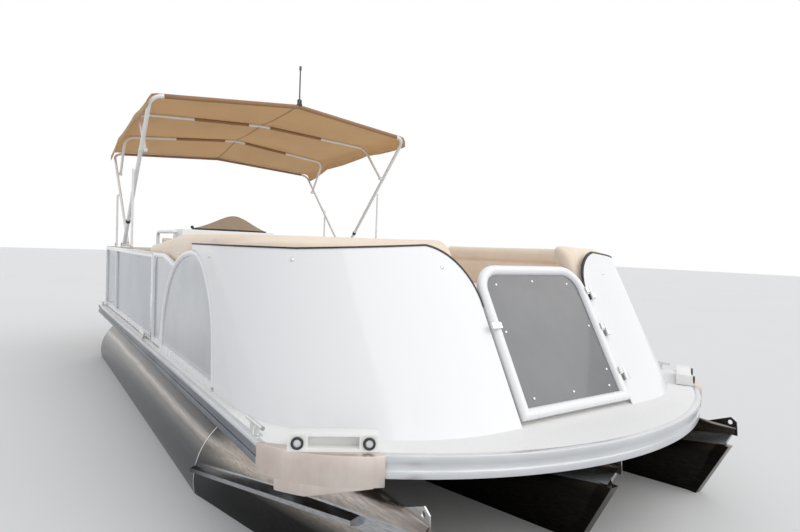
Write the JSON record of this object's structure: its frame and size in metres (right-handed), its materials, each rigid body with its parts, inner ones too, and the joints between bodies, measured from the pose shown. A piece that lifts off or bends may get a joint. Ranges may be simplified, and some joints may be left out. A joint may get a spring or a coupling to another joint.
{
  "type": "pontoon boat",
  "caption": "Open pontoon boat on tubular floats, with bow shells, gates and fences, padded lounges, a helm, a folding canopy on hoops and an outboard motor.",
  "frame": {"origin": "middle of the bounding box, on the ground under the keels", "axes": "bow towards -Y, port towards +X, up +Z"},
  "size_m": [2.6, 6.634, 3.0017],
  "materials": {
    "raw_aluminium": "brushed, a little dulled",
    "frame_aluminium": "mill",
    "plywood": "painted",
    "deck_vinyl": "fine woven grain",
    "trim_aluminium": "satin, ribbed",
    "cast_aluminium": "brushed",
    "side_panel": "polished sheet",
    "white_plastic": "satin",
    "white_shell": "gloss",
    "dark_bead": "satin",
    "tan_vinyl": "grained",
    "white_vinyl": "grained",
    "white_tube": "gloss",
    "smoke_panel": "clear, smoked",
    "bronze_screen": "bronze tint",
    "bright_steel": "polished",
    "black_rubber": "soft",
    "black_plastic": "satin",
    "tan_canvas": "woven",
    "motor_paint": "gloss",
    "propeller_steel": "polished"
  },
  "bodies": {
    "hull": {"bimini_feet": "bright_steel", "bimini_rear_hoop": "white_tube", "bow_beads": "dark_bead", "bow_corners": "cast_aluminium", "bow_shell_port": "white_shell", "bow_shell_starboard": "white_shell", "canopy": "tan_canvas", "chair_pedestal": "bright_steel", "cleats": "bright_steel", "deck_board": "plywood", "deck_frame": "frame_aluminium", "deck_trim": "trim_aluminium", "deck_vinyl": "deck_vinyl", "fence_panels": "side_panel", "fence_port": "white_tube", "fence_starboard": "white_tube", "helm_console": "white_shell", "helm_fittings": "black_plastic", "helm_rail": "white_tube", "hinge_mounts": "bright_steel", "lamp_boxes": "white_plastic", "lounge_back_port": "tan_vinyl", "lounge_back_starboard": "tan_vinyl", "lounge_base_port": "white_plastic", "lounge_base_starboard": "white_plastic", "lounge_pads": "white_vinyl", "motor_pod": "raw_aluminium", "outboard_bracket": "motor_paint", "pontoon_centre": "raw_aluminium", "pontoon_port": "raw_aluminium", "pontoon_starboard": "raw_aluminium", "stern_bench_back": "tan_vinyl", "stern_bench_base": "white_plastic", "stern_fence": "white_tube", "windscreen": "bronze_screen"},
    "bow_gate": {"bow_gate_frame": "white_tube", "bow_gate_panel": "smoke_panel", "bow_gate_fittings": "bright_steel"},
    "stern_gate": {"stern_gate_frame": "white_tube", "stern_gate_panel": "side_panel"},
    "side_gate": {"side_gate_frame": "white_tube", "side_gate_panel": "side_panel"},
    "ladder": {"ladder": "raw_aluminium"},
    "lounge_lid_port": {"lounge_lid_port": "white_vinyl"},
    "lounge_lid_starboard": {"lounge_lid_starboard": "white_vinyl"},
    "bench_lid": {"stern_bench_lid": "white_vinyl"},
    "chair": {"chair_frame": "black_plastic", "chair_cushions": "tan_vinyl"},
    "steering_wheel": {"steering_wheel": "black_rubber"},
    "bimini_front": {"bimini_front_hoop": "white_tube", "light_base": "black_plastic"},
    "bimini_second": {"bimini_second_hoop": "white_tube"},
    "bimini_third": {"bimini_third_hoop": "white_tube"},
    "bimini_braces": {"bimini_front_braces": "white_tube"},
    "light_mast": {"light_mast": "black_plastic"},
    "motor_swivel": {"outboard_swivel": "motor_paint"},
    "motor": {"outboard_leg": "motor_paint", "outboard_cowl": "motor_paint"},
    "propeller": {"propeller": "propeller_steel"}
  },
  "joints": [
    {"name": "bow_gate_swing", "type": "hinge", "parent": "hull", "child": "bow_gate", "pos_m": [0.358, -3.05965, 0.81436], "axis": [0, 0.4952, 0.8688], "range_deg": [0, 110]},
    {"name": "stern_gate_swing", "type": "hinge", "parent": "hull", "child": "stern_gate", "pos_m": [1.154, 1.72305, 0.8], "axis": [0, 0, 1], "range_deg": [0, 90]},
    {"name": "side_gate_swing", "type": "hinge", "parent": "hull", "child": "side_gate", "pos_m": [1.2, -0.57495, 0.8], "axis": [0, 0, 1], "range_deg": [0, 90]},
    {"name": "ladder_fold", "type": "hinge", "parent": "hull", "child": "ladder", "pos_m": [0.84, 1.87905, 0.78], "axis": [-1, 0, 0], "range_deg": [0, 175]},
    {"name": "lounge_lid_port_lift", "type": "hinge", "parent": "hull", "child": "lounge_lid_port", "pos_m": [0.97, -1.61695, 1.13], "axis": [0, 1, 0], "range_deg": [0, 75]},
    {"name": "lounge_lid_starboard_lift", "type": "hinge", "parent": "hull", "child": "lounge_lid_starboard", "pos_m": [-0.97, -1.61695, 1.13], "axis": [0, -1, 0], "range_deg": [0, 75]},
    {"name": "bench_lid_lift", "type": "hinge", "parent": "hull", "child": "bench_lid", "pos_m": [-0.4, 1.49405, 1.13], "axis": [-1, 0, 0], "range_deg": [0, 75]},
    {"name": "chair_swivel", "type": "hinge", "parent": "hull", "child": "chair", "pos_m": [-0.695, 0.58305, 1.08], "axis": [0, 0, 1], "continuous": true},
    {"name": "bimini_fold", "type": "hinge", "parent": "hull", "child": "bimini_front", "pos_m": [0, 1.20305, 1.418], "axis": [-1, 0, 0], "range_deg": [0, 80], "deforming": ["canopy"]},
    {"name": "bimini_second_fold", "type": "hinge", "parent": "bimini_front", "child": "bimini_second", "pos_m": [0, 0.42795, 2.19853], "axis": [1, 0, 0], "range_deg": [0, 82]},
    {"name": "bimini_third_fold", "type": "hinge", "parent": "hull", "child": "bimini_third", "pos_m": [0, 1.99401, 2.15044], "axis": [-1, 0, 0], "range_deg": [0, 77]},
    {"name": "bimini_brace_fold", "type": "hinge", "parent": "hull", "child": "bimini_braces", "pos_m": [0, 0.57305, 1.414], "axis": [1, 0, 0], "range_deg": [0, 85]},
    {"name": "mast_fold", "type": "hinge", "parent": "bimini_front", "child": "light_mast", "pos_m": [0, -0.02609, 2.70575], "axis": [-1, 0, 0], "range_deg": [0, 90]},
    {"name": "outboard_tilt", "type": "hinge", "parent": "hull", "child": "motor_swivel", "pos_m": [0, 2.36305, 0.7], "axis": [-1, 0, 0], "range_deg": [0, 62]},
    {"name": "outboard_steer", "type": "hinge", "parent": "motor_swivel", "child": "motor", "pos_m": [0, 2.39121, 0.75298], "axis": [0, -0.8829, 0.4695], "range_deg": [-30, 30]},
    {"name": "propeller_spin", "type": "hinge", "parent": "motor", "child": "propeller", "pos_m": [0, 3.16717, 0.60202], "axis": [0, 0.4695, 0.8829], "continuous": true},
    {"name": "steering_wheel_turn", "type": "hinge", "parent": "hull", "child": "steering_wheel", "pos_m": [-0.695, -0.11695, 1.3587], "axis": [0, 0.8829, 0.4695], "range_deg": [-540, 540]}
  ],
  "couplings": [
    {"joint": "bimini_second_fold", "follows": "bimini_fold", "ratio": 1.025},
    {"joint": "bimini_third_fold", "follows": "bimini_fold", "ratio": 0.9625},
    {"joint": "bimini_brace_fold", "follows": "bimini_fold", "ratio": 1.0625},
    {"joint": "steering_wheel_turn", "follows": "outboard_steer", "ratio": 18}
  ]
}
